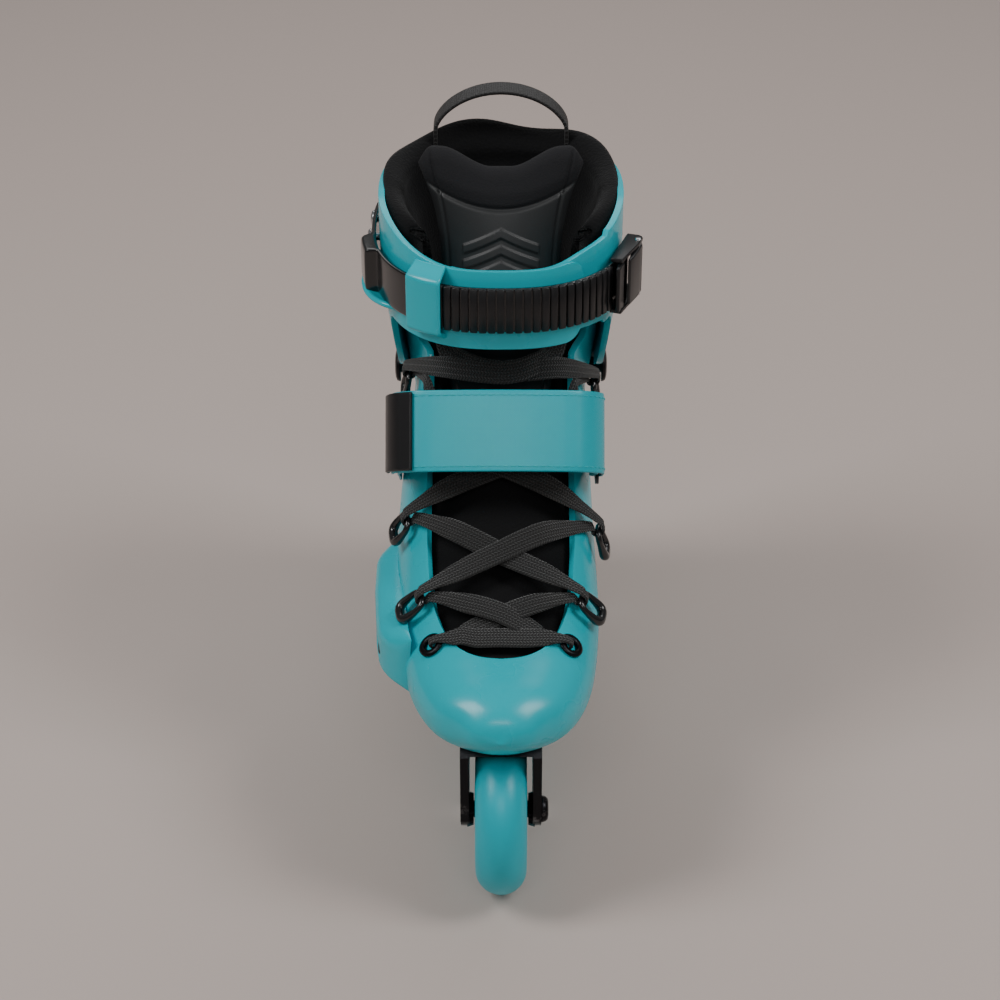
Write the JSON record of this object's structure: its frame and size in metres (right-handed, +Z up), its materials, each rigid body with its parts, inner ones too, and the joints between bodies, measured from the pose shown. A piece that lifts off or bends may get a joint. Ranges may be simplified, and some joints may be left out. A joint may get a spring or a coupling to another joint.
{
  "type": "inline skate",
  "caption": "Right inline skate: teal hard-shell boot with a hinged cuff, padded liner, flat laces, instep strap and ratchet buckle, on an aluminium chassis.",
  "frame": {"origin": "on the ground under the middle of the skate's box, in the chassis's centre plane", "axes": "+Y from toe to heel along the row of wheels, +Z up, +X to the inner side of the foot"},
  "size_m": [0.133, 0.323, 0.3116],
  "materials": {
    "teal_plastic": "satin",
    "teal_urethane": "satin",
    "teal_strap": "satin",
    "black_plastic": "satin",
    "black_aluminium": "anodised",
    "black_fabric": "matte",
    "black_lace": "matte",
    "steel": "polished",
    "grey_foam": "matte"
  },
  "bodies": {
    "boot": {"bearing_spacer_1": "black_aluminium", "bearing_spacer_2": "black_aluminium", "bearing_spacer_3": "black_aluminium", "bearing_spacer_4": "black_aluminium", "axle_1": "black_aluminium", "axle_2": "black_aluminium", "axle_3": "black_aluminium", "axle_4": "black_aluminium", "chassis": "black_aluminium", "cuff_bolt_outer": "black_aluminium", "cuff_bolt_inner": "black_aluminium", "eyelet_outer": "black_aluminium", "eyelet_inner": "black_aluminium", "mount_bolt_front": "steel", "mount_bolt_rear": "steel", "plate_screw_1": "steel", "plate_screw_2": "steel", "strap_anchor_bolt": "steel", "ring_bolt": "steel", "shell": "teal_plastic", "wear_plate": "teal_plastic", "liner": "black_fabric", "tongue": "black_fabric", "insole": "grey_foam", "shock_absorber": "grey_foam", "lace_loop_lower_outer": "black_plastic", "lace_loop_lower_inner": "black_plastic", "lace_loop_upper_outer": "black_plastic", "lace_loop_upper_inner": "black_plastic", "lace_loop_top_outer": "black_plastic", "lace_loop_top_inner": "black_plastic", "strap_tab": "black_plastic", "strap_ring": "black_plastic", "lace": "black_lace", "instep_strap": "teal_strap"},
    "wheel_1": {"tyre_1": "teal_urethane", "wheel_core_1": "black_plastic", "bearing_1_outer": "steel", "bearing_1_inner": "steel"},
    "wheel_2": {"tyre_2": "teal_urethane", "wheel_core_2": "black_plastic", "bearing_2_outer": "steel", "bearing_2_inner": "steel"},
    "wheel_3": {"tyre_3": "teal_urethane", "wheel_core_3": "black_plastic", "bearing_3_outer": "steel", "bearing_3_inner": "steel"},
    "wheel_4": {"tyre_4": "teal_urethane", "wheel_core_4": "black_plastic", "bearing_4_outer": "steel", "bearing_4_inner": "steel"},
    "cuff": {"cuff": "teal_plastic", "ladder_strap": "black_plastic", "ladder_screw_1": "steel", "ladder_screw_2": "steel", "buckle_base": "black_plastic", "buckle_pin": "steel", "pull_loop": "black_fabric"},
    "lever": {"buckle_lever": "black_plastic"},
    "tab": {"release_tab": "black_plastic"}
  },
  "joints": [
    {"name": "wheel_spin_1", "type": "hinge", "parent": "boot", "child": "wheel_1", "pos_m": [0, -0.1215, 0.04], "axis": [1, 0, 0], "continuous": true},
    {"name": "wheel_spin_2", "type": "hinge", "parent": "boot", "child": "wheel_2", "pos_m": [0, -0.0405, 0.04], "axis": [1, 0, 0], "continuous": true},
    {"name": "wheel_spin_3", "type": "hinge", "parent": "boot", "child": "wheel_3", "pos_m": [0, 0.0405, 0.04], "axis": [1, 0, 0], "continuous": true},
    {"name": "wheel_spin_4", "type": "hinge", "parent": "boot", "child": "wheel_4", "pos_m": [0, 0.1215, 0.04], "axis": [1, 0, 0], "continuous": true},
    {"name": "cuff_flex", "type": "hinge", "parent": "boot", "child": "cuff", "pos_m": [0, 0.065, 0.175], "axis": [1, 0, 0], "range_deg": [-3, 8], "stiffness_Nm_per_rad": 12, "deforming": ["liner", "tongue", "lace"]},
    {"name": "buckle_open", "type": "hinge", "parent": "cuff", "child": "lever", "pos_m": [0.06412, 0.01622, 0.2545], "axis": [0, 0, 1], "range_deg": [0, 55], "stiffness_Nm_per_rad": 0.02, "springref_deg": -17.19},
    {"name": "tab_lift", "type": "hinge", "parent": "cuff", "child": "tab", "pos_m": [0.05599, -0.00216, 0.2545], "axis": [0, 0, 1], "range_deg": [0, 12], "stiffness_Nm_per_rad": 0.02, "springref_deg": -17.19}
  ]
}
